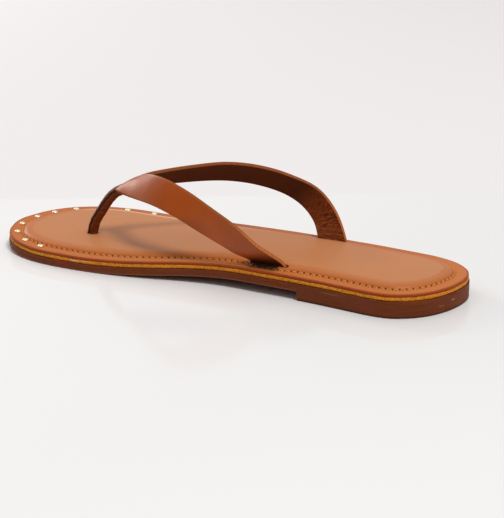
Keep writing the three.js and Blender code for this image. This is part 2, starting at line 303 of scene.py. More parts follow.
class SoleEdge:
    """The edge of the sole in plan: its points, the way inwards, and the inset of the stitches"""

    FINE_STEPS = 160
    BOW_OUT = 2.7
    BOW_REACH = 13.0

    def __init__(self, stitch_inset, stitch_pitch, per_stitch):
        fine = centripetal(outline_controls(), self.FINE_STEPS, True)
        along = unit(np.roll(fine, -1, axis=0) - np.roll(fine, 1, axis=0))
        inward = np.stack([along[:, 1], -along[:, 0]], axis=1)
        inset = self.stitch_line_inset(fine, stitch_inset)
        sewn = fine + inward * inset[:, None]
        run = run_length(np.column_stack([sewn, base_height(sewn)]), True)
        self.length = run[-1]
        self.stitches = round(self.length / stitch_pitch)
        self.count = self.stitches * per_stitch
        places = np.arange(self.count) * self.length / self.count
        self.points = self._at(places, run, fine)
        self.inward = unit(self._at(places, run, inward))
        self.inset = self._at(places, run, inset[:, None])[:, 0]
        self.share = np.arange(self.count) / per_stitch % 1

    def _at(self, places, run, values):
        looped = np.vstack([values, values[:1]])
        return np.column_stack([np.interp(places, run, column) for column in looped.T])

    def stitch_line_inset(self, points, plain):
        """The inset of the stitches: the line bows out round each slot"""
        inset = np.full(len(points), plain)
        for rear, front in SLOTS:
            middle = (np.array(rear) + np.array(front)) / 2
            same_side = np.sign(points[:, 1]) == np.sign(middle[1])
            inset -= self.BOW_OUT * bell(points[:, 0] - middle[0], self.BOW_REACH) * same_side
        return inset

    def ring(self, inset):
        """The points at an inset from the edge"""
        return self.points + self.inward * np.broadcast_to(inset, self.count)[:, None]

    def pulled(self, inset, pull):
        """A ring pulled towards the line that halves the sole; a pull of 1 lies on that line"""
        flat = self.ring(inset)
        opposite = flat[-np.arange(self.count)]
        return flat + ((flat + opposite) / 2 - flat) * pull


# Meshes

CUTTER_SIDES = 40
CUTTER_SPAN = (-5, 30)


def new_object(name, data):
    """An object in the scene"""
    made = bpy.data.objects.new(name, data)
    bpy.context.scene.collection.objects.link(made)
    return made


def to_metres(points):
    """The tables' points in the shoe's own frame"""
    return (np.asarray(points) - TABLE_MIDDLE) * MM


def set_attribute(data, name, values, kind="FLOAT", field="value"):
    layer = data.attributes.new(name, kind, "POINT")
    layer.data.foreach_set(field, np.asarray(values, np.float32).ravel())


def mesh_object(name, points, faces, attributes=None, smooth=True):
    """A new object from points in the tables' millimetres, with float attributes on its points"""
    data = bpy.data.meshes.new(name)
    data.from_pydata(to_metres(points).tolist(), [], faces)
    for key, values in (attributes or {}).items():
        set_attribute(data, key, values)
    data.polygons.foreach_set("use_smooth", [smooth] * len(data.polygons))
    data.validate()
    data.update()
    return new_object(name, data)


def grid_faces(rows, columns):
    """Quads between loops of points, which are counted loop by loop"""
    faces = []
    for low in range(0, (rows - 1) * columns, columns):
        high = low + columns
        for column in range(columns):
            beside = (column + 1) % columns
            faces.append((low + column, low + beside, high + beside, high + column))
    return faces


def tube_faces(rows, columns):
    """Faces of a tube of loops, with both its ends"""
    faces = [face[::-1] for face in grid_faces(rows, columns)]
    faces.append(tuple(range(columns)))
    faces.append(tuple(reversed(range((rows - 1) * columns, rows * columns))))
    return faces


def modified_mesh(piece, **options):
    """The plain mesh of what a piece's modifiers make"""
    bpy.context.view_layer.update()
    graph = bpy.context.evaluated_depsgraph_get()
    return bpy.data.meshes.new_from_object(piece.evaluated_get(graph), depsgraph=graph, **options)


def modify(piece, kind, **settings):
    """Applies a modifier to a piece, so that it stays a plain mesh"""
    modifier = piece.modifiers.new(kind, kind)
    for key, value in settings.items():
        setattr(modifier, key, value)
    made = modified_mesh(piece, preserve_all_data_layers=True)
    piece.modifiers.clear()
    old, piece.data = piece.data, made
    made.name = piece.name
    bpy.data.meshes.remove(old)


def circle(angles, radius):
    return radius * np.column_stack([np.cos(angles), np.sin(angles)])


def slot_ring(slot, width):
    """The outline of a slot with round ends"""
    rear, front = np.array(slot[0]), np.array(slot[1])
    turn = math.atan2(front[1] - rear[1], front[0] - rear[0])
    angles = np.linspace(-math.pi / 2, math.pi / 2, CUTTER_SIDES // 4 + 1)
    ends = [end + circle(turn + start + angles, width / 2) for end, start in ((front, 0), (rear, math.pi))]
    return np.vstack(ends)


def cut_through(piece, ring):
    """Cuts a hole with this outline right through a piece"""
    points = np.vstack([np.column_stack([ring, np.full(len(ring), z)]) for z in CUTTER_SPAN])
    faces = [face[::-1] for face in tube_faces(2, len(ring))]
    cutter = mesh_object("cutter", points, faces, smooth=False)
    modify(piece, "BOOLEAN", operation="DIFFERENCE", solver="EXACT", object=cutter)
    bpy.data.objects.remove(cutter)


def quarter_turn(shares):
    """A round corner at shares of its turn: the share, the way left on one side, the way gone on the other"""
    for share in shares:
        angle = share * math.pi / 2
        yield share, 1 - math.sin(angle), 1 - math.cos(angle)


class Layer:
    """A closed layer of the sole: rings from the middle of its underside, outwards, up and back inwards"""

    def __init__(self, edge, **plain):
        self.edge = edge
        self.plain = plain
        self.rings = []
        self.marks = {key: [] for key in plain}

    def put(self, ring, height, **marks):
        """Adds a ring at a height; an attribute that isn't given has its plain value"""
        self.rings.append(np.column_stack([ring, height]))
        for key, value in {**self.plain, **marks}.items():
            self.marks[key].append(np.broadcast_to(value, self.edge.count))

    def flat(self, pulls, from_edge, surface, **marks):
        """Adds rings that are pulled towards the middle, on a surface"""
        for pull in pulls:
            ring = self.edge.pulled(from_edge, pull)
            self.put(ring, surface(ring), **marks)

    def piece(self, name, **fields):
        """The layer's mesh; a field is an attribute worked out from the points"""
        points = np.vstack(self.rings)
        attributes = {key: np.concatenate(values) for key, values in self.marks.items()}
        attributes.update({key: field(points) for key, field in fields.items()})
        faces = [face[::-1] for face in grid_faces(len(self.rings), self.edge.count)]
        made = mesh_object(name, points, faces, attributes)
        modify(made, "WELD", merge_threshold=WELD_DISTANCE)
        return made


# Materials


def full_colour(colour):
    """A socket as it is, or the colour's three numbers with a fourth for no transparency"""
    return colour if isinstance(colour, bpy.types.NodeSocket) else (*colour[:3], 1.0)


class NodeTree:
    """A node tree and short ways to add to it"""

    def __init__(self, tree):
        self.tree = tree

    def add(self, kind, inputs=None, **settings):
        """A node with its settings and inputs; an input is a value or the socket that feeds it"""
        node = self.tree.nodes.new(kind)
        for key, value in settings.items():
            setattr(node, key, value)
        self.feed(node, inputs or {})
        return node

    def feed(self, node, inputs):
        for key, value in inputs.items():
            if isinstance(value, bpy.types.NodeSocket):
                self.tree.links.new(value, node.inputs[key])
            else:
                node.inputs[key].default_value = value

    def get(self, kind, output, inputs=None, **settings):
        """One output of a new node"""
        return self.add(kind, inputs, **settings).outputs[output]

    def math(self, operation, *values):
        return self.get("ShaderNodeMath", "Value", dict(enumerate(values)), operation=operation)

    def times(self, *factors):
        product = factors[0]
        for factor in factors[1:]:
            product = self.math("MULTIPLY", product, factor)
        return product

    def vector(self, operation, *values, output="Vector"):
        return self.get("ShaderNodeVectorMath", output, dict(enumerate(values)), operation=operation)

    def joined(self, x=0.0, y=0.0, z=0.0):
        return self.get("ShaderNodeCombineXYZ", "Vector", {0: x, 1: y, 2: z})

    def parts(self, vector):
        return self.add("ShaderNodeSeparateXYZ", {0: vector}).outputs


class Finish(NodeTree):
    """A node material with its running colour"""

    # The share of a spot's reach that has its full colour
    SPOT_CORE = 0.35

    def __init__(self, name):
        self.material = bpy.data.materials.new(name)
        self.material.use_nodes = True
        super().__init__(self.material.node_tree)
        self.shader = self.tree.nodes["Principled BSDF"]
        self.place = self.get("ShaderNodeTexCoord", "Object")
        self.colour = None

    def attribute(self, name):
        return self.get("ShaderNodeAttribute", "Fac", attribute_name=name)

    def stretched(self, scale):
        """The place on the shoe, stretched by a scale a side"""
        return self.get("ShaderNodeMapping", "Vector", {"Vector": self.place, "Scale": scale})

    def noise(self, scale, detail=3.0, roughness=0.5, vector=None):
        inputs = {"Vector": vector or self.place, "Scale": scale, "Detail": detail, "Roughness": roughness}
        return self.get("ShaderNodeTexNoise", "Fac", inputs)

    def pores(self, scale):
        return self.get("ShaderNodeTexVoronoi", "Distance", {"Vector": self.place, "Scale": scale})

    def spread(self, value, low, high, out_low=0.0, out_high=1.0):
        """A value between two limits, brought softly to the range between two others"""
        inputs = {"Value": value, "From Min": low, "From Max": high, "To Min": out_low, "To Max": out_high}
        return self.get("ShaderNodeMapRange", "Result", inputs, interpolation_type="SMOOTHSTEP")

    def mix(self, share, first, second):
        """Two colours mixed by a share"""
        inputs = {0: share, 6: full_colour(first), 7: full_colour(second)}
        return self.get("ShaderNodeMix", 2, inputs, data_type="RGBA")

    def varied(self, value, low, high, colour, first, second):
        """A colour in two shades, by a value between two limits"""
        return self.mix(self.spread(value, low, high), shade(colour, first), shade(colour, second))

    def paint(self, share, colour):
        """Lays a share of a colour over the running one"""
        self.colour = self.mix(share, self.colour, colour)

    def tint(self, colour, value, low, high, first=0.0, second=1.0):
        """Lays a colour over the running one, in a share that goes with a value"""
        self.paint(self.spread(value, low, high, first, second), colour)

    def wear_and_shade(self, marks, strength=0.9, ragged=0.5):
        """Ragged spots of wear or of painted shade: each has its middle and reach in the tables' millimetres,
        and its colour
        """
        for place, size, colour in marks:
            middle = tuple(to_metres(place))
            reach = tuple(np.array(size) * MM)
            scaled = self.vector("DIVIDE", self.vector("SUBTRACT", self.place, middle), reach)
            away = self.vector("LENGTH", scaled, output="Value")
            away = self.math("ADD", away, self.times(self.noise(900, 3, 0.7), 2 * ragged))
            self.tint(colour, away, ragged + self.SPOT_CORE, ragged + 1.0, strength, 0.0)

    def bump(self, height, relief, strength=1.0, normal=None):
        """Raises a surface by its height, at most by the relief in millimetres"""
        inputs = {"Height": height, "Distance": relief * MM, "Strength": strength}
        if normal:
            inputs["Normal"] = normal
        return self.get("ShaderNodeBump", "Normal", inputs)

    def finish(self, roughness, normal=None, plain=None):
        """Feeds the shader; plain values go straight to its sockets"""
        inputs = {"Base Color": full_colour(self.colour), "Roughness": roughness, **(plain or {})}
        if normal:
            inputs["Normal"] = normal
        self.feed(self.shader, inputs)
        return self.material


# Waxed brown leather and rubber throw back a warm sheen
WARM_SHEEN = (1.0, 0.8, 0.62, 1.0)

# How far inside the stitches a painted highlight runs along the padding's crest, where it catches the light,
# in millimetres
CREST_OFFSET = 4.4

# Marks of wear, and spots of painted shade: the middle, the reach a side and the colour
FOOTBED_MARKS = (
    ((213.0, 42.0, 7.4), (5.0, 1.6, 0.8), srgb(168, 34, 22)),
    ((205.0, 42.6, 6.9), (4.0, 1.4, 0.5), srgb(150, 40, 24)),
    ((33.0, 37.2, 11.6), (14.0, 3.2, 0.55), srgb(104, 38, 12)),
    # A dark spot at the rear end of the inner slot
    ((89.0, 24.9, 14.0), (2.2, 2.0, 2.5), srgb(92, 30, 16)),
)
# Painted shade over the middle of the inner strap
STRAP_PAINTED_SHADE = (((137.0, 32.5, 30.5), (19.0, 12.0, 9.0), srgb(128, 50, 10)),)
# Painted shade on the stitches beside the inner slot, under the strap's overhang
THREAD_PAINTED_SHADE = (((98.0, 30.0, 13.0), (10.0, 5.0, 5.0), srgb(54, 24, 8)),)
BOARD_MARKS = (
    ((203.5, 43.0, 5.3), (3.4, 2.0, 0.5), srgb(236, 196, 186)),
    ((197.5, 43.0, 5.6), (2.4, 2.0, 0.4), srgb(230, 190, 160)),
    ((226.0, 41.5, 5.0), (5.0, 2.0, 0.8), srgb(206, 150, 60)),
)
OUTSOLE_MARKS = (
    ((212.0, 43.0, 3.2), (6.0, 2.5, 1.2), srgb(140, 34, 30)),
    ((40.0, 39.6, 4.5), (9.0, 3.0, 1.6), srgb(124, 40, 34)),
    ((3.0, 14.0, 5.4), (1.4, 1.7, 0.55), srgb(196, 160, 120)),
    ((5.0, 22.0, 4.0), (3.0, 3.0, 0.7), srgb(150, 104, 80)),
    ((60.0, 37.5, 7.0), (8.0, 2.0, 0.6), srgb(134, 90, 40)),
)


def shade(colour, factor):
    """A colour made darker or lighter"""
    return tuple(min(1.0, channel * factor) for channel in colour)


def satin(level):
    """Plain shader values for a surface that throws back this much warm light"""
    return {"Specular IOR Level": level, "Specular Tint": WARM_SHEEN}


def footbed_finish(sole):
    """Smooth tan leather: fine grain, an even satin, darker by the stitches, with a raw cut edge; painted
    shade on the outer rim, on the crown's slope and beside the slots, painted warm reflected light, and a
    painted highlight along the outer crest
    """
    skin = Finish("footbed_leather")
    offset = skin.attribute("stitch_offset")
    mottle = skin.noise(260, 3, 0.6)
    skin.colour = skin.varied(skin.noise(28, 4, 0.55), 0.35, 0.7, sole.leather, 0.985, 1.015)
    skin.tint(shade(sole.leather, 0.8), mottle, 0.4, 0.75, 0, 0.04)
    place = skin.parts(skin.place)
    outer_side = skin.spread(place["Y"], -28 * MM, -18 * MM, 1.0, 0.0)
    # Painted warm reflected light on the inner half of the footbed
    skin.tint(srgb(192, 114, 54), place["Y"], -4 * MM, 34 * MM, 0.0, 0.4)
    at_heel = skin.spread(place["X"], -120 * MM, -90 * MM, 1.0, 0.0)
    rim = skin.mix(at_heel, srgb(183, 93, 25), srgb(188, 101, 40))
    # Painted shade: the rim is darker on the outer side
    rim = skin.mix(outer_side, rim, srgb(172, 84, 26))
    skin.tint(rim, offset, -1.5, 1.0, 0.78, 0.0)
    skin.tint(srgb(160, 82, 36), skin.math("ABSOLUTE", offset), 0.2, 1.3, 0.4, 0.0)
    # Painted shade: darker, more orange leather on the crown's slope inside the stitches
    slope_shade = skin.times(skin.spread(offset, 0.5, 11.0, 1.0, 0.0), skin.spread(offset, -0.2, 0.5, 0.0, 0.65))
    skin.paint(slope_shade, srgb(178, 90, 28))
    # Painted highlight: a pale line along the crest of the padding on the outer side
    from_crest = skin.math("ABSOLUTE", skin.math("SUBTRACT", offset, CREST_OFFSET))
    skin.paint(skin.times(skin.spread(from_crest, 0.8, 2.4, 0.7, 0.0), outer_side), srgb(226, 176, 138))
    skin.tint(srgb(78, 28, 8), skin.attribute("hole"), 0.25, 0.5)
    # Painted warm reflected light where the padding is pressed down round the slots and the toe post
    skin.tint(srgb(178, 84, 26), skin.attribute("pressed"), 0.1, 1.0, 0.0, 0.6)
    # Painted shade beside each slot, where the strap overhangs the rim
    skin.tint(srgb(30, 9, 4), skin.attribute("deep"), 0.3, 0.9, 0.0, 0.93)
    skin.wear_and_shade(FOOTBED_MARKS)
    fibre = skin.noise(900, 3, 0.6, skin.stretched((1, 1, 3)))
    ragged_inset = skin.math("ADD", skin.attribute("inset"), skin.times(mottle, 0.5))
    at_edge = skin.spread(ragged_inset, 0.9, 2.3, 1.0, 0.0)
    skin.paint(at_edge, skin.varied(fibre, 0.3, 0.7, sole.cut_edge, 0.75, 1.15))
    matt = skin.math("MAXIMUM", at_edge, skin.spread(offset, -1.0, 1.5, 0.9, 0.0))
    roughness = skin.math("MAXIMUM", skin.spread(mottle, 0.3, 0.8, 0.42, 0.45), skin.times(matt, 0.75))
    grain = skin.bump(skin.pores(1500), 0.05, 0.5)
    grain = skin.bump(skin.noise(3200, 2, 0.6), 0.03, 0.6, grain)
    grain = skin.bump(fibre, 0.25, skin.times(at_edge, 0.8), grain)
    sheen = {"Sheen Weight": 0.2, "Sheen Roughness": 0.4, "Sheen Tint": WARM_SHEEN}
    return skin.finish(roughness, grain, {**satin(0.32), **sheen})


def board_finish(sole):
    """The cut edge of a fibrous board: mottled gold with darker specks and short fibres"""
    edge = Finish("board_edge")
    lumps = edge.noise(700, 4, 0.65)
    specks = edge.noise(1900, 3, 0.7)
    edge.colour = edge.varied(lumps, 0.36, 0.66, sole.board, 0.8, 1.3)
    edge.tint(srgb(150, 62, 4), specks, 0.55, 0.78, 0, 0.28)
    edge.tint(srgb(226, 158, 36), edge.noise(60, 2), 0.5, 0.75, 0, 0.4)
    edge.wear_and_shade(BOARD_MARKS)
    rough = edge.bump(lumps, 0.4, 0.9)
    return edge.finish(0.85, edge.bump(specks, 0.2, 0.8, rough))


def outsole_finish(sole):
    """Moulded outsole: brown, with fine level streaks on its side, and its lower edge painted dark with shade
    under the heel and lighter in front of the breast
    """
    mould = Finish("outsole_rubber")
    along_side = mould.joined(mould.times(mould.attribute("run"), 0.02), mould.attribute("below_top"))
    streaks = mould.noise(2.6, 4, 0.65, along_side)
    fine = mould.noise(9.0, 3, 0.6, along_side)
    mould.colour = mould.varied(streaks, 0.35, 0.68, sole.rubber, 0.78, 1.22)
    mould.tint(srgb(146, 92, 62), fine, 0.45, 0.75, 0, 0.35)
    mould.tint(srgb(120, 56, 44), mould.noise(35), 0.45, 0.7, 0, 0.3)
    breast = (BREAST_X - TABLE_MIDDLE[0]) * MM
    in_front = mould.spread(mould.parts(mould.place)["X"], breast - MM, breast + MM)
    # The lower edge: painted shade under the heel, and a lighter band in front of the breast
    low_edge = mould.times(mould.attribute("low_edge"), 0.6)
    mould.paint(low_edge, mould.mix(in_front, srgb(44, 18, 8), srgb(146, 80, 56)))
    mould.wear_and_shade(OUTSOLE_MARKS, 0.63)
    normal = mould.bump(streaks, 0.12, 0.7)
    normal = mould.bump(mould.noise(1400, 2), 0.06, 0.5, normal)
    return mould.finish(mould.spread(fine, 0.3, 0.7, 0.5, 0.68), normal, satin(0.25))


def strap_finish(upper):
    """Polished brown leather outside, wrinkled lining inside, and a lighter cut edge; painted shade towards
    the slots and in the lining's folds, and painted warm reflected light on the lining near the outer slot
    """
    strap = Finish("strap_leather")
    lining, edge = strap.attribute("lining"), strap.attribute("edge")
    along, base = strap.attribute("along"), strap.attribute("near_base")
    wrinkled = strap.attribute("wrinkled")
    cloud = strap.noise(45, 4, 0.55)
    strap.colour = strap.varied(cloud, 0.35, 0.7, upper.outer_face, 0.88, 1.1)
    # Painted shade: the outer face darker towards the slots
    strap.paint(strap.times(base, 0.6), srgb(150, 66, 30))
    folds = strap.noise(1.5, 4, 0.65, strap.joined(along, strap.times(strap.attribute("across"), 0.18)))
    inner = strap.varied(cloud, 0.35, 0.7, upper.lining, 0.5, 0.62)
    # Painted warm reflected light on the lining near the outer slot
    inner = strap.mix(strap.spread(wrinkled, 0.2, 1.0), inner, srgb(146, 66, 12))
    # Painted shade in the troughs of the lining's wrinkles
    fold_shade = strap.times(strap.spread(folds, 0.42, 0.6, 1.0, 0.0), wrinkled)
    strap.paint(lining, strap.mix(fold_shade, inner, shade(upper.lining, 0.62)))
    # Painted shade: the strap turns nearly black where it goes into the inner slot
    foot = strap.times(strap.spread(along, 5.5, 17.0, 0.9, 0.0), strap.spread(lining, 0.0, 1.0, 1.0, 0.4))
    strap.paint(foot, srgb(36, 11, 4))
    cut = strap.varied(strap.noise(1100, 3, 0.6), 0.3, 0.7, upper.edge, 0.72, 1.12)
    strap.paint(edge, strap.mix(strap.spread(base, 0.2, 0.9, 0.65, 0.0), cut, srgb(112, 50, 16)))
    # Painted shade darkens the middle of the inner strap
    strap.wear_and_shade(STRAP_PAINTED_SHADE, 0.54, 0.05)
    strap.tint(srgb(92, 44, 18), strap.attribute("join"), 0.3, 0.9, 0.0, 0.8)
    matt = strap.times(strap.math("MAXIMUM", lining, edge), 0.72)
    roughness = strap.math("MAXIMUM", strap.spread(strap.noise(300), 0.3, 0.7, 0.38, 0.43), matt)
    normal = strap.bump(strap.pores(1700), 0.04, 0.22)
    normal = strap.bump(folds, 0.5, strap.times(lining, wrinkled, 0.9), normal)
    return strap.finish(roughness, normal, satin(0.4))


def post_finish(upper):
    """Rolled leather: creased across, dark along its lap"""
    post = Finish("post_leather")
    creases = post.noise(420, 4, 0.6, post.stretched((0.6, 0.6, 2.2)))
    post.colour = post.varied(creases, 0.35, 0.68, upper.post, 0.62, 1.2)
    post.paint(post.attribute("lap"), srgb(44, 18, 8))
    normal = post.bump(creases, 0.35, 0.8)
    normal = post.bump(post.pores(1800), 0.05, 0.5, normal)
    return post.finish(post.spread(creases, 0.3, 0.7, 0.4, 0.58), normal, satin(0.3))


def thread_finish(trim):
    """Waxed golden thread with a fine twist, and painted shade beside the inner slot"""
    thread = Finish("sewing_thread")
    twist = thread.noise(2600, 2)
    thread.colour = thread.varied(twist, 0.35, 0.7, trim.thread, 0.7, 1.15)
    # Painted shade on the stitches under the inner strap
    thread.wear_and_shade(THREAD_PAINTED_SHADE, ragged=0.1)
    return thread.finish(0.6, thread.bump(twist, 0.2, 0.7), satin(0.2))


def stud_finish(trim):
    """Pale gold metal, lightly brushed"""
    metal = Finish("stud_metal")
    tarnish = metal.noise(900, 3, 0.6)
    metal.colour = trim.stud_metal
    metal.tint(shade(trim.stud_metal, 0.7), tarnish, 0.45, 0.8, 0, 0.35)
    roughness = metal.spread(tarnish, 0.3, 0.8, 0.5, 0.62)
    return metal.finish(roughness, metal.bump(tarnish, 0.03, 0.4), {"Metallic": 1.0})


def dress(piece, material, slot, *nodes):
    """Gives a finished piece its material and its place on the body, and hides the nodes that it stands for
    """
    if not piece.data.materials:
        piece.data.materials.append(material)
    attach(piece, "root")
    if nodes:
        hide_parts(*nodes)


# The pieces


def sole_edge(sole, per_stitch):
    return SoleEdge(sole.stitch_inset / MM, sole.stitch_pitch / MM, per_stitch)


class SANDAL_OT_outsole(bpy.types.Operator):
    """Builds the moulded outsole with its low heel"""

    bl_idname = "sandal.make_outsole"
    bl_label = "Outsole"

    PER_STITCH = 3
    PULLS = (0.25, 0.5, 0.75, 1.0)
    LOW_BEVEL = 0.7
    TOP_ROUND = 0.4
    WALL_SHARES = np.linspace(0.12, 1, 12)
    RIPPLE = 0.035
    RIPPLE_WAVE = 1.3
    UNDERSIDE_BELOW_TOP = 8.0

    def under(self, points):
        """The underside: flat under the heel, then the square breast, then the even layer"""
        return base_height(points) * np.clip((points[:, 0] - BREAST_X) / BREAST_ROUND, 0, 1)

    def execute(self, context):
        sole = context.scene.sandal_sole
        edge = sole_edge(sole, self.PER_STITCH)
        self.align_to_breast(edge)
        run = np.arange(edge.count) * edge.length / edge.count
        layer = Layer(edge, below_top=0.0, low_edge=0.0, run=run)
        layer.flat(reversed(self.PULLS), self.LOW_BEVEL, self.under, below_top=self.UNDERSIDE_BELOW_TOP)
        bottom = self.under(edge.points)
        top = base_height(edge.points) + OUTSOLE_TOP
        for _, inwards, up in quarter_turn((0.0, 0.35, 0.7, 1.0)):
            ring = edge.ring(self.LOW_BEVEL * inwards)
            lift = self.LOW_BEVEL * up
            layer.put(ring, self.under(ring) + lift, below_top=top - bottom - lift, low_edge=1.0)
        foot, head = bottom + self.LOW_BEVEL, top - self.TOP_ROUND
        for share in self.WALL_SHARES:
            height = foot + (head - foot) * share
            ripple = self.RIPPLE * wobble((0, 0, top - height), self.RIPPLE_WAVE, 3)
            layer.put(edge.ring(np.abs(ripple)), height, below_top=top - height)
        for _, down, inwards in quarter_turn((0.35, 0.7, 1.0)):
            layer.put(edge.ring(self.TOP_ROUND * inwards), top - self.TOP_ROUND * down)
        layer.flat(self.PULLS, self.TOP_ROUND, lambda ring: base_height(ring) + OUTSOLE_TOP)
        dress(layer.piece("moulded_outsole"), outsole_finish(sole), "outsole_rubber", "outsole")
        return {"FINISHED"}

    def align_to_breast(self, edge):
        """Moves the two points nearest to the breast, on each side, to its foot and head"""
        for inner in (True, False):
            side = np.flatnonzero((edge.points[:, 1] > 0) == inner)
            side = side[np.argsort(edge.points[side, 0])]
            first = np.searchsorted(edge.points[side, 0], BREAST_X)
            pair = side[first - 1], side[first]
            for index, x in zip(pair, (BREAST_X, BREAST_X + BREAST_ROUND)):
                neighbour = pair[1] if index == pair[0] else pair[0]
                start, end = edge.points[index].copy(), edge.points[neighbour].copy()
                share = (x - start[0]) / (end[0] - start[0])
                edge.points[index] = start + (end - start) * share


class SANDAL_OT_board(bpy.types.Operator):
    """Builds the insole board with its rough golden edge"""

    bl_idname = "sandal.make_board"
    bl_label = "Board"

    PER_STITCH = 5
    INSET = 0.3
    ROUGHNESS = 0.16
    CORNER = 0.18
    PULLS = (0.3, 0.65, 1.0)
    EDGE_SHARES = (0.0, 0.12, 0.28, 0.44, 0.6, 0.76, 0.9, 1.0)
    WAVES = (
        # share of the roughness, length, seed
        (0.6, 2.6, 11),
        (0.48, 1.2, 12),
    )

    def execute(self, context):
        sole = context.scene.sandal_sole
        edge = sole_edge(sole, self.PER_STITCH)
        low, high = BOARD_SPAN
        layer = Layer(edge)
        middle_inset = self.INSET + self.ROUGHNESS
        layer.flat(reversed(self.PULLS), middle_inset, lambda ring: base_height(ring) + low)
        level = base_height(edge.points)
        for share in self.EDGE_SHARES:
            z = low + (high - low) * share
            place = (*edge.points.T, z * 2)
            rough = sum(part * wobble(place, wave, seed) for part, wave, seed in self.WAVES)
            corner = self.CORNER * (2 * share - 1) ** 4
            layer.put(edge.ring(self.INSET + corner + self.ROUGHNESS * (1 + rough)), level + z)
        layer.flat(self.PULLS, middle_inset, lambda ring: base_height(ring) + high)
        dress(layer.piece("insole_board"), board_finish(sole), "board_edge", "midsole")
        return {"FINISHED"}


class SANDAL_OT_footbed(bpy.types.Operator):
    """Builds the padded leather footbed with its sewn groove, slots and post hole"""

    bl_idname = "sandal.make_footbed"
    bl_label = "Footbed"

    PER_STITCH = 6
    EDGE_INSET = 0.4
    EDGE_ROUND = 0.75
    UNDER_INSET = 0.7
    WALL_LEAN = 0.08
    UNEVEN = 0.06
    SLOT_WIDTH = 2.9
    HOLE_RADIUS = 3.05
    NEEDLE_HOLE = 0.62
    NEEDLE_DEPTH = 0.35
    PUCKER = 0.07
    RIM_SHARES = (0.12, 0.3, 0.5, 0.7, 0.85)
    FROM_STITCHES = (-1.1, -0.75, -0.5, -0.3, -0.15, 0.0, 0.15, 0.3, 0.5, 0.75, 1.05, 1.4, 1.8, 2.3,
                     2.9, 3.6, 4.5, 5.6)
    PULLS = (0.08, 0.2, 0.35, 0.52, 0.7, 0.86, 1.0)
    PADDING_START = 0.35
    PRESSED_SHARE = 0.35
    GROOVE_REACH = 0.5
    # Height, place from the stitches and reach of the soft rim outside them
    RIM_PILLOW = (0.12, -3.4, 1.9)
    SOFT_HEIGHT = 0.07
    SOFT_WAVE = 38
    # Offsets from the stitches that stand for the cut edge and for the middle of the sole
    OUTSIDE = -9.0
    ON_CROWN = 9.0
    WELL_INSIDE = 20.0

    def execute(self, context):
        sole = context.scene.sandal_sole
        edge = sole_edge(sole, self.PER_STITCH)
        low, high = COVER_SPAN
        self.crown = sole.crown_height / MM
        self.ease = sole.crown_ease / MM
        self.groove = sole.groove_depth / MM
        layer = Layer(edge, inset=0.0, stitch_offset=self.OUTSIDE, hole=0.0)
        layer.flat((1.0, 0.6, 0.3, 0.0), self.UNDER_INSET, lambda ring: base_height(ring) + low)
        level = base_height(edge.points)
        uneven = self.UNEVEN * wobble((*edge.points.T, 0), 7, 21)
        for share in (0.0, 0.3, 0.6):
            ring = edge.ring(self.EDGE_INSET + self.WALL_LEAN * (1 - share) + uneven)
            layer.put(ring, level + low + (high - self.EDGE_ROUND - low) * share, inset=0.1)
        for share, down, inwards in quarter_turn((0.0, 0.25, 0.5, 0.75, 1.0)):
            ring = edge.ring(self.EDGE_INSET + uneven * (1 - share) + self.EDGE_ROUND * inwards)
            inset = self.EDGE_INSET + self.EDGE_ROUND * share
            layer.put(ring, level + high - self.EDGE_ROUND * down, inset=inset)
        for share in self.RIM_SHARES:
            start = self.EDGE_INSET + self.EDGE_ROUND
            inset = start + (edge.inset + self.FROM_STITCHES[0] - start) * share
            ring, offset = edge.ring(inset), inset - edge.inset
            layer.put(ring, self.surface(ring, offset), inset=inset, stitch_offset=offset)
        at_hole = bell((edge.share - 0.5) * sole.stitch_pitch / MM, self.NEEDLE_HOLE)
        for offset in self.FROM_STITCHES:
            ring = edge.ring(edge.inset + offset)
            sunk = at_hole * bell(offset, 0.85)
            pucker = self.PUCKER * bell(offset - 1.2, 0.8) * (0.5 - at_hole)
            height = self.surface(ring, offset) - self.NEEDLE_DEPTH * sunk + pucker
            layer.put(ring, height, inset=edge.inset + offset, stitch_offset=offset, hole=sunk)
        crown = edge.inset + self.FROM_STITCHES[-1]
        layer.flat(self.PULLS, crown, lambda ring: self.surface(ring, self.ON_CROWN),
                   inset=self.WELL_INSIDE, stitch_offset=self.WELL_INSIDE)
        piece = layer.piece("leather_footbed", pressed=self.pressed, deep=self.deep)
        for slot in SLOTS:
            cut_through(piece, slot_ring(slot, self.SLOT_WIDTH))
        turns = np.arange(CUTTER_SIDES) * 2 * math.pi / CUTTER_SIDES
        cut_through(piece, POST_ROWS[0][:2] + circle(turns, self.HOLE_RADIUS))
        dress(piece, footbed_finish(sole), "footbed_leather", "footbed")
        return {"FINISHED"}

    def surface(self, points, offset):
        """Height of the leather: the rim, the sewn groove, the padded crown and its hollows"""
        rise = self.crown * (1 - np.exp(-np.maximum(0, offset - self.PADDING_START) / self.ease))
        rise = rise * (1 - self.PRESSED_SHARE * self.pressed(points))
        groove = self.groove * bell(offset, self.GROOVE_REACH)
        height, place, reach = self.RIM_PILLOW
        pillow = height * bell(offset - place, reach)
        soft = self.SOFT_HEIGHT * wobble((*points.T, 0), self.SOFT_WAVE, 31) * np.clip(offset / 4, 0, 1)
        return base_height(points) + COVER_SPAN[1] + rise - groove + pillow + soft

    def deep(self, points):
        """Where shade is painted on the leather between each slot and the rim"""
        x, y = points[:, 0], points[:, 1]
        amount = np.zeros(len(x))
        for rear, front in SLOTS:
            middle = (rear[1] + front[1]) / 2
            out = (y - middle) * np.sign(middle)
            beyond = np.maximum(0, np.maximum(rear[0] + 5 - x, x - front[0] + 1))
            near = bell(np.maximum(0, out - 1.8), 5.6) * bell(beyond, 2.5)
            amount = np.maximum(amount, near * (out > -0.8))
        return amount

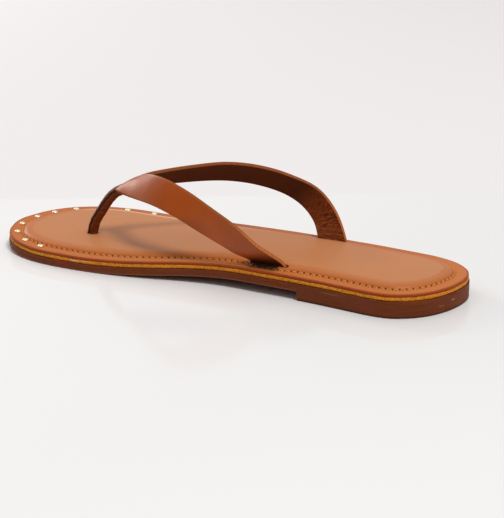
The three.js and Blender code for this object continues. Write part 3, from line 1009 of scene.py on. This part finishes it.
    def pressed(self, points):
        """How far the padding is pressed down: by the slots and by the toe post"""
        x, y = points[:, 0], points[:, 1]
        amount = bell(np.hypot(x - POST_ROWS[0][0], y - POST_ROWS[0][1]), 5.0)
        for rear, front in SLOTS:
            distance = np.hypot(x - np.clip(x, rear[0], front[0]), y - (rear[1] + front[1]) / 2)
            amount = np.maximum(amount, bell(distance, 3.2))
        return amount


class SANDAL_OT_straps(bpy.types.Operator):
    """Builds the upper: two lined straps joined over the toe post"""

    bl_idname = "sandal.make_straps"
    bl_label = "Straps"

    STEPS = 26
    FACE_POINTS = 19
    ROUND_POINTS = 4
    JOIN_DEPTH = 0.1
    EVEN_ROWS = (6.0, 14.0)
    EVEN_STEPS = 11
    SOFT_TROUGHS = (
        # distance along the strap, width, depth
        (15.0, 5.0, 0.25),
        (27.0, 7.0, 0.18),
        (92.0, 6.0, 0.12),
    )

    SOFT_BOW = 0.025
    SOFT_WAVE = 26
    FOLD_HEIGHT = 0.11
    FOLD_WAVE = 2.2
    FOLD_STRETCH = 0.22
    # Along the strap: where a mark is strongest, and its reach
    # The marks near the slots carry painted shade on the strap's outer face
    NEAR_INNER_SLOT = (12, 22)
    NEAR_OUTER_SLOT = (8, 18)
    # WRINKLED_COLOUR places painted warm reflected light on the lining and painted shade in its folds
    WRINKLED_COLOUR = (14, 20)
    WRINKLED_SHAPE = (16, 17)

    def execute(self, context):
        upper = context.scene.sandal_upper
        self.thickness = upper.strap_thickness / MM
        self.radius = upper.edge_round / MM
        rears, fronts, bows = zip(*STRAP_ROWS)
        rear, front = (self.evened(centripetal(rows, self.STEPS)) for rows in (rears, fronts))
        bow = centripetal(np.array(bows)[:, None], self.STEPS)[:, 0]
        middle = (rear + front) / 2
        width = np.linalg.norm(rear - front, axis=1)
        across = unit(rear - front)
        along = unit(np.gradient(middle, axis=0))
        outward = unit(np.cross(across, along))
        run = run_length(middle)
        sections, marks = [], {}
        for i, here in enumerate(run):
            a, b, lining, edge = self.profile(width[i])
            left = run[-1] - here
            near_base = self.mark(here, self.NEAR_INNER_SLOT) + self.mark(left, self.NEAR_OUTER_SLOT)
            values = {"lining": lining, "edge": edge, "along": here, "across": a, "near_base": near_base,
                      "wrinkled": self.mark(left, self.WRINKLED_COLOUR), "join": edge * (b == 0)}
            for key, value in values.items():
                marks.setdefault(key, []).append(np.broadcast_to(value, len(a)))
            b = b + max(0.0, bow[i]) * (1 - (2 * a / width[i]) ** 2) + self.softness(here, left, a, lining)
            sections.append(middle[i] + np.outer(a, across[i]) + np.outer(b, outward[i]))
        attributes = {key: np.concatenate(values) for key, values in marks.items()}
        faces = tube_faces(len(sections), len(sections[0]))
        piece = mesh_object("thong_upper", np.vstack(sections), faces, attributes)
        dress(piece, strap_finish(upper), "strap_leather", "thong_straps")
        return {"FINISHED"}

    def mark(self, run, spot):
        place, reach = spot
        return bell(run - place, reach)

    def profile(self, width):
        """The section of a strap: across, outwards, and which points are lining or cut edge"""
        half, r = self.thickness / 2, self.radius
        flat = width / 2 - r
        turns = (np.arange(self.ROUND_POINTS) + 0.5) / self.ROUND_POINTS * math.pi / 2
        over = [(flat + r * math.sin(turn), half - r + r * math.cos(turn)) for turn in turns]
        join = [(width / 2, (half - r) * 0.5), (width / 2 - self.JOIN_DEPTH, 0.0)]
        side = over + join + [(a, -b) for a, b in reversed(over + join[:1])]
        last = len(side) - 1
        side = [(a, b, float(i == last), float(0 < i < last)) for i, (a, b) in enumerate(side)]
        shares = np.linspace(-1, 1, self.FACE_POINTS)
        outer = [(share * flat, half, 0.0, 0.0) for share in shares]
        inner = [(-share * flat, -half, 1.0, 0.0) for share in shares]
        far_side = [(-a, *others) for a, *others in reversed(side)]
        return np.array(outer + side + inner + far_side).T

    def evened(self, edge):
        """The strap's edge, smoothed where the leather bends over the toe post"""
        reach = 3 * self.EVEN_STEPS
        weight = np.exp(-((np.arange(-reach, reach + 1) / self.EVEN_STEPS) ** 2) / 2)
        wide = np.pad(edge, ((reach, reach), (0, 0)), mode="edge")
        even = np.stack([np.convolve(column, weight / weight.sum(), "valid") for column in wide.T], axis=1)
        row = np.arange(len(edge)) / self.STEPS
        share = np.clip(np.minimum(row - self.EVEN_ROWS[0], self.EVEN_ROWS[1] - row), 0, 1)
        return edge + (even - edge) * share[:, None]

    def softness(self, run, left, across, lining):
        """Soft troughs across the strap, and the wrinkles of its lining near the outer slot"""
        soft = self.SOFT_BOW * wobble((run, across, 0), self.SOFT_WAVE, 41)
        for place, reach, depth in self.SOFT_TROUGHS:
            soft = soft - depth * bell(run - place, reach)
        folds = wobble((run, across * self.FOLD_STRETCH, 0), self.FOLD_WAVE, 42)
        return soft - self.FOLD_HEIGHT * self.mark(left, self.WRINKLED_SHAPE) * lining * folds


class SANDAL_OT_toe_post(bpy.types.Operator):
    """Builds the toe post, a strip of leather rolled up with its free edge lapped over"""

    bl_idname = "sandal.make_toe_post"
    bl_label = "Toe post"

    STEPS = 14
    SIDES = 40
    LAP_ANGLES = (
        # share of the way up, the lap's direction from straight ahead of the toe
        (0.0, 48.0),
        (0.35, 60.0),
        (0.7, 74.0),
        (1.0, 66.0),
    )

    # Shares of the turn from the lap's free edge round to it again
    STEP_END = 0.03
    EVEN_FROM = 0.5
    TUCK_START = 0.96
    LAP_SHADE = 0.05
    TURNS = np.concatenate([[0.0, 0.012], np.linspace(0.05, 0.94, SIDES - 4), [0.975, 0.995]])
    TUCK = 0.05
    SEAM_WAVES = ((0.07, 1.3, 0), (0.05, 2.9, 1))
    CREASE = 0.06
    CREASE_WAVE = 3.0

    def execute(self, context):
        upper = context.scene.sandal_upper
        radius, step = upper.post_radius / MM, upper.lap_step / MM
        reach = radius - step * np.maximum(0, 1 - self.TURNS / self.EVEN_FROM)
        reach[self.TURNS > self.TUCK_START] = radius - self.TUCK
        reach[self.TURNS < self.STEP_END] = radius - step * 1.5
        lap = np.maximum(0, 1 - np.minimum(self.TURNS, 1 - self.TURNS) / self.LAP_SHADE)
        path = centripetal(POST_ROWS, self.STEPS)
        along = unit(np.gradient(path, axis=0))
        shares, degrees = zip(*self.LAP_ANGLES)
        run = run_length(path)
        rings = []
        for point, forward, here in zip(path, along, run):
            ahead = unit(np.array([1.0, 0, 0]) - forward * forward[0])
            sideways = np.cross(forward, ahead)
            seam = math.radians(np.interp(here / run[-1], shares, degrees))
            seam += sum(part * math.sin(here * wave + start) for part, wave, start in self.SEAM_WAVES)
            turned = circle(seam + self.TURNS * 2 * math.pi, 1.0)
            crease = self.CREASE * wobble((here, *turned.T), self.CREASE_WAVE, 51)
            rings.append(point + (reach + crease)[:, None] * (turned @ np.stack([ahead, sideways])))
        faces = tube_faces(len(path), len(self.TURNS))
        piece = mesh_object("rolled_toe_post", np.vstack(rings), faces, {"lap": np.tile(lap, len(path))})
        dress(piece, post_finish(upper), "post_leather", "toe_post")
        return {"FINISHED"}


# Geometry Nodes for what repeats

STUD_FOOT = 0.25 * MM
STUD_LIFT = 0.28


class Repeater(NodeTree):
    """A node tree that repeats a small shape along the points or the line it is given"""

    def __init__(self, name, sizes):
        super().__init__(bpy.data.node_groups.new(name, "GeometryNodeTree"))
        sockets = [("Geometry", "INPUT", "Geometry"), *((size, "INPUT", "Float") for size in sizes),
                   ("Material", "INPUT", "Material"), ("Geometry", "OUTPUT", "Geometry")]
        for label, way, kind in sockets:
            self.tree.interface.new_socket(label, in_out=way, socket_type="NodeSocket" + kind)
        self.start = self.add("NodeGroupInput").outputs
        self.end = self.add("NodeGroupOutput").inputs

    def close(self, shape, points, vector, **axes):
        """Ends the tree: the shape on each point, turned to a vector, as real meshes with their material"""
        soft = self.get("GeometryNodeSetShadeSmooth", "Geometry", {"Geometry": shape})
        turned = self.get("FunctionNodeAlignRotationToVector", "Rotation", {"Vector": vector}, **axes)
        inputs = {"Points": points, "Instance": soft, "Rotation": turned}
        placed = self.get("GeometryNodeInstanceOnPoints", "Instances", inputs)
        solid = self.get("GeometryNodeRealizeInstances", "Geometry", {"Geometry": placed})
        inputs = {"Geometry": solid, "Material": self.start["Material"]}
        self.tree.links.new(self.get("GeometryNodeSetMaterial", "Geometry", inputs), self.end["Geometry"])
        return self

    def make(self, name, source, values):
        """Runs the tree on an object and keeps the result as a plain mesh"""
        modifier = source.modifiers.new("repeat", "NODES")
        modifier.node_group = self.tree
        for item in self.tree.interface.items_tree:
            if item.in_out == "INPUT" and item.name in values:
                modifier[item.identifier] = values[item.name]
        made = modified_mesh(source)
        bpy.data.objects.remove(source)
        if not len(made.polygons):
            raise RuntimeError(f"{name} has no faces")
        return new_object(name, made)


def stitch_tree():
    """Short arched threads along a closed line"""
    tree = Repeater("stitches", ("Pitch", "Length", "Width"))
    line, pitch, length, width = (tree.start[key] for key in ("Geometry", "Pitch", "Length", "Width"))
    whole = tree.get("GeometryNodeCurveLength", "Length", {"Curve": line})
    count = tree.math("ROUND", tree.math("DIVIDE", whole, pitch))
    even = tree.get("GeometryNodeResampleCurve", "Curve", {"Curve": line, "Count": count})
    half, sunk = tree.times(length, 0.5), tree.times(width, -0.75)
    inputs = {"Resolution": 7, "Start": tree.joined(tree.times(half, -1.0), z=sunk),
              "Middle": tree.joined(z=tree.times(width, 0.85)), "End": tree.joined(half, z=sunk)}
    bend = tree.get("GeometryNodeCurveQuadraticBezier", "Curve", inputs)
    inputs = {"Resolution": 8, "Radius": tree.times(width, 0.5)}
    section = tree.get("GeometryNodeCurvePrimitiveCircle", "Curve", inputs)
    inputs = {"Curve": bend, "Profile Curve": section, "Fill Caps": True}
    thread = tree.get("GeometryNodeCurveToMesh", "Mesh", inputs)
    tangent = tree.get("GeometryNodeInputTangent", "Tangent")
    return tree.close(thread, even, tangent, axis="X", pivot_axis="Z")


def stud_tree():
    """Domed studs with a thin foot on each point, square to the leather"""
    tree = Repeater("studs", ("Radius", "Height"))
    radius, height = tree.start["Radius"], tree.start["Height"]
    dome = tree.get("GeometryNodeMeshUVSphere", "Mesh", {"Segments": 28, "Rings": 14, "Radius": radius})
    place = tree.parts(tree.get("GeometryNodeInputPosition", "Position"))
    raised = tree.times(tree.math("MAXIMUM", place["Z"], 0.0), tree.math("DIVIDE", height, radius))
    foot = tree.math("MAXIMUM", tree.math("MINIMUM", place["Z"], 0.0), -STUD_FOOT)
    level = tree.joined(place["X"], place["Y"], tree.math("ADD", raised, foot))
    shaped = tree.get("GeometryNodeSetPosition", "Geometry", {"Geometry": dome, "Position": level})
    normal = tree.get("GeometryNodeInputNamedAttribute", "Attribute", {"Name": "square_to"},
                      data_type="FLOAT_VECTOR")
    return tree.close(shaped, tree.start["Geometry"], normal, axis="Z")


class SANDAL_OT_stitches(bpy.types.Operator):
    """Sews the golden thread round the footbed"""

    bl_idname = "sandal.make_stitches"
    bl_label = "Stitches"

    def execute(self, context):
        sole, trim = context.scene.sandal_sole, context.scene.sandal_trim
        edge = sole_edge(sole, 5)
        ring = edge.ring(edge.inset)
        in_leather = (0.3 * trim.thread_width - 0.5 * sole.groove_depth) / MM
        points = to_metres(np.column_stack([ring, base_height(ring) + COVER_SPAN[1] + in_leather]))
        data = bpy.data.curves.new("stitch_line", "CURVE")
        data.dimensions = "3D"
        line = data.splines.new("POLY")
        line.points.add(len(points) - 1)
        line.points.foreach_set("co", np.column_stack([points, np.ones(len(points))]).ravel())
        line.use_cyclic_u = True
        material = thread_finish(trim)
        values = {"Pitch": edge.length / edge.stitches * MM, "Length": trim.stitch_length,
                  "Width": trim.thread_width, "Material": material}
        piece = stitch_tree().make("footbed_stitches", new_object("stitch_line", data), values)
        dress(piece, material, "footbed_leather")
        return {"FINISHED"}


class SANDAL_OT_studs(bpy.types.Operator):
    """Sets the domed studs round the toe"""

    bl_idname = "sandal.make_studs"
    bl_label = "Studs"

    def execute(self, context):
        trim = context.scene.sandal_trim
        nodes = sorted(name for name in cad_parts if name.startswith("stud_"))
        if not nodes:
            raise RuntimeError("the frame has no studs")
        corners = np.array([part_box(name) for name in nodes])
        middles = corners.mean(axis=1) / MM + TABLE_MIDDLE
        middles[:, 2] = base_height(middles) + COVER_SPAN[1] + STUD_LIFT
        step = np.array([1.0, 0, 0])
        rise = (base_height(middles + step) - base_height(middles - step)) / 2
        source = mesh_object("stud_places", middles, [])
        square_to = unit(np.column_stack([-rise, 0 * rise, 1 + 0 * rise]))
        set_attribute(source.data, "square_to", square_to, "FLOAT_VECTOR", "vector")
        material = stud_finish(trim)
        values = {"Radius": trim.stud_radius, "Height": trim.stud_height, "Material": material}
        dress(stud_tree().make("rim_studs", source, values), material, "stud_metal", *nodes)
        return {"FINISHED"}


class SANDAL_OT_stage(bpy.types.Operator):
    """Sets up the camera, the floor and the lights"""

    bl_idname = "sandal.make_stage"
    bl_label = "Stage"

    FLOOR_SIZE = 6.0
    SHEET_EDGE = ((303.0, -53.3, 0.0), (54.7, -185.2, 0.0))
    KEY_FROM = (-17.0, 11.0, 35.0)
    KEY_DISTANCE = 4.0
    KEY_SIZE = 0.9
    PANEL_FROM = (33.0, -14.0, 13.5)
    PANEL_DISTANCE = 1.8
    PANEL_SIZE = 0.6
    ALL_ROUND = 0.42
    ABOVE = 0.7
    NEAR_SIDE_LOSS = 0.42
    LEAST = 0.02
    ROOM_COLOUR = (1.0, 0.99, 0.985, 1.0)

    def execute(self, context):
        studio = context.scene.sandal_studio
        self.make_camera(context)
        self.make_floor(studio)
        self.make_lights(context, studio)
        context.scene.view_settings.view_transform = "Standard"
        return {"FINISHED"}

    def make_camera(self, context):
        """The camera at the photograph's angle to the shoe"""
        azimuth, elevation = math.radians(VIEW_AZIMUTH), math.radians(VIEW_ELEVATION)
        level = math.cos(elevation)
        self.back = Vector((-math.sin(azimuth) * level, math.cos(azimuth) * level, math.sin(elevation)))
        data = bpy.data.cameras.new("photo_camera")
        data.sensor_fit = "AUTO"
        data.sensor_width = SENSOR
        data.lens = FOCAL_PIXELS * SENSOR / max(PHOTO_SIZE)
        camera = new_object("photo_camera", data)
        place = Matrix.Translation(Vector(to_metres(VIEW_TARGET)) + self.back * VIEW_DISTANCE * MM)
        look = (-self.back).to_track_quat("-Z", "Y").to_matrix().to_4x4()
        camera.matrix_world = place @ look @ Matrix.Rotation(math.radians(VIEW_ROLL), 4, "Z")
        context.scene.camera = camera

    def make_floor(self, studio):
        """A pale backdrop lying flat, with a glossy white sheet in front of it"""
        one, other = (Vector(to_metres(place)) for place in self.SHEET_EDGE)
        beside = (one - other).normalized()
        away = Vector((beside.y, -beside.x, 0)) * self.FLOOR_SIZE
        beside = beside * self.FLOOR_SIZE / 2
        edge = (one + other) / 2
        self.plane("floor_sheet", edge, edge - away, beside, self.sheet_finish(studio))
        self.plane("backdrop", edge + away, edge, beside, self.paper_finish(studio))

    def plane(self, name, far, near, beside, material):
        corners = [near - beside, near + beside, far + beside, far - beside]
        data = bpy.data.meshes.new(name)
        data.from_pydata([tuple(c) for c in corners], [], [(0, 1, 2, 3)])
        if data.polygons[0].normal.z < 0:
            data.flip_normals()
        data.materials.append(material)
        floor = new_object(name, data)

    def sheet_finish(self, studio):
        """Glossy white, with painted shade that makes it a little darker to the camera's right"""
        sheet = Finish("floor_sheet")
        beside = (self.back.x - self.back.y, self.back.x + self.back.y, 0.0)
        right = sheet.vector("DOT_PRODUCT", sheet.place, beside, output="Value")
        sheet.colour = sheet.varied(right, -0.2, 0.2, studio.floor, 1.03, 0.94)
        return sheet.finish(0.12, plain={"Specular IOR Level": 0.35})

    def paper_finish(self, studio):
        paper = Finish("backdrop")
        paper.colour = studio.backdrop
        return paper.finish(0.9, plain={"Specular IOR Level": 0.1})

    def area_light(self, name, towards, distance, size, power):
        """A square light in a direction from the shoe, facing it"""
        data = bpy.data.lights.new(name, "AREA")
        data.shape = "SQUARE"
        data.size = size
        data.energy = power
        light = new_object(name, data)
        direction = Vector(towards).normalized()
        light.location = direction * distance
        light.rotation_mode = "QUATERNION"
        light.rotation_quaternion = direction.to_track_quat("Z", "Y")

    def make_lights(self, context, studio):
        """A softbox high above the heel, a panel beyond the toe and a pale room all round"""
        self.area_light("softbox", self.KEY_FROM, self.KEY_DISTANCE, self.KEY_SIZE, studio.key_power)
        self.area_light("panel", self.PANEL_FROM, self.PANEL_DISTANCE, self.PANEL_SIZE, studio.panel_power)
        world = bpy.data.worlds.new("room")
        context.scene.world = world
        world.use_nodes = True
        room = NodeTree(world.node_tree)
        away = Vector((-self.back.x, -self.back.y, 0)).normalized()
        direction = room.get("ShaderNodeTexCoord", "Generated")
        behind = room.vector("DOT_PRODUCT", direction, away, output="Value")
        level = room.math("MULTIPLY_ADD", room.parts(direction)["Z"], self.ABOVE, self.ALL_ROUND)
        level = room.math("MULTIPLY_ADD", room.math("MINIMUM", behind, 0.0), self.NEAR_SIDE_LOSS, level)
        strength = room.times(room.math("MAXIMUM", level, self.LEAST), studio.fill_strength)
        background = room.tree.nodes["Background"].inputs
        background["Color"].default_value = self.ROOM_COLOUR
        room.tree.links.new(strength, background["Strength"])


class VIEW3D_PT_sandal(bpy.types.Panel):
    """Sizes, colours and buttons for each piece of the sandal"""

    bl_label = "Toe post sandal"
    bl_space_type = "VIEW_3D"
    bl_region_type = "UI"
    bl_category = "Sandal"

    def draw(self, context):
        scene = context.scene
        for title, settings in (("Sole", scene.sandal_sole), ("Upper", scene.sandal_upper),
                                ("Trim", scene.sandal_trim), ("Studio", scene.sandal_studio)):
            box = self.layout.box()
            box.label(text=title)
            for key in type(settings).__annotations__:
                box.prop(settings, key)
        for operator in OPERATORS:
            self.layout.operator(operator.bl_idname)


SETTINGS = (
    ("sandal_sole", SoleSettings),
    ("sandal_upper", UpperSettings),
    ("sandal_trim", TrimSettings),
    ("sandal_studio", StudioSettings),
)
OPERATORS = (
    SANDAL_OT_stage,
    SANDAL_OT_outsole,
    SANDAL_OT_board,
    SANDAL_OT_footbed,
    SANDAL_OT_straps,
    SANDAL_OT_toe_post,
    SANDAL_OT_stitches,
    SANDAL_OT_studs,
)


def register():
    for key, group in SETTINGS:
        bpy.utils.register_class(group)
        setattr(bpy.types.Scene, key, bpy.props.PointerProperty(type=group))
    for operator in OPERATORS:
        bpy.utils.register_class(operator)
    bpy.utils.register_class(VIEW3D_PT_sandal)


def unregister():
    bpy.utils.unregister_class(VIEW3D_PT_sandal)
    for operator in reversed(OPERATORS):
        bpy.utils.unregister_class(operator)
    for key, group in reversed(SETTINGS):
        delattr(bpy.types.Scene, key)
        bpy.utils.unregister_class(group)


def check_fit(name, node):
    """Stops when a piece and its solid in the pack differ in length or width"""
    low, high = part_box(node)
    for axis in (0, 1):
        reach = [vertex.co[axis] for vertex in bpy.data.objects[name].data.vertices]
        gap = max(abs(min(reach) - low[axis]), abs(max(reach) - high[axis]))
        if gap > FIT_TOLERANCE:
            raise RuntimeError(f"{name} and {node} differ by {gap / MM:.2f} mm")


def main():
    register()
    bpy.ops.sandal.make_stage()
    bpy.ops.sandal.make_outsole()
    bpy.ops.sandal.make_board()
    bpy.ops.sandal.make_footbed()
    bpy.ops.sandal.make_straps()
    bpy.ops.sandal.make_toe_post()
    bpy.ops.sandal.make_stitches()
    bpy.ops.sandal.make_studs()
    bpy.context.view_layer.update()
    check_fit("moulded_outsole", "outsole")
    check_fit("leather_footbed", "footbed")


if __name__ == "__main__":
    main()
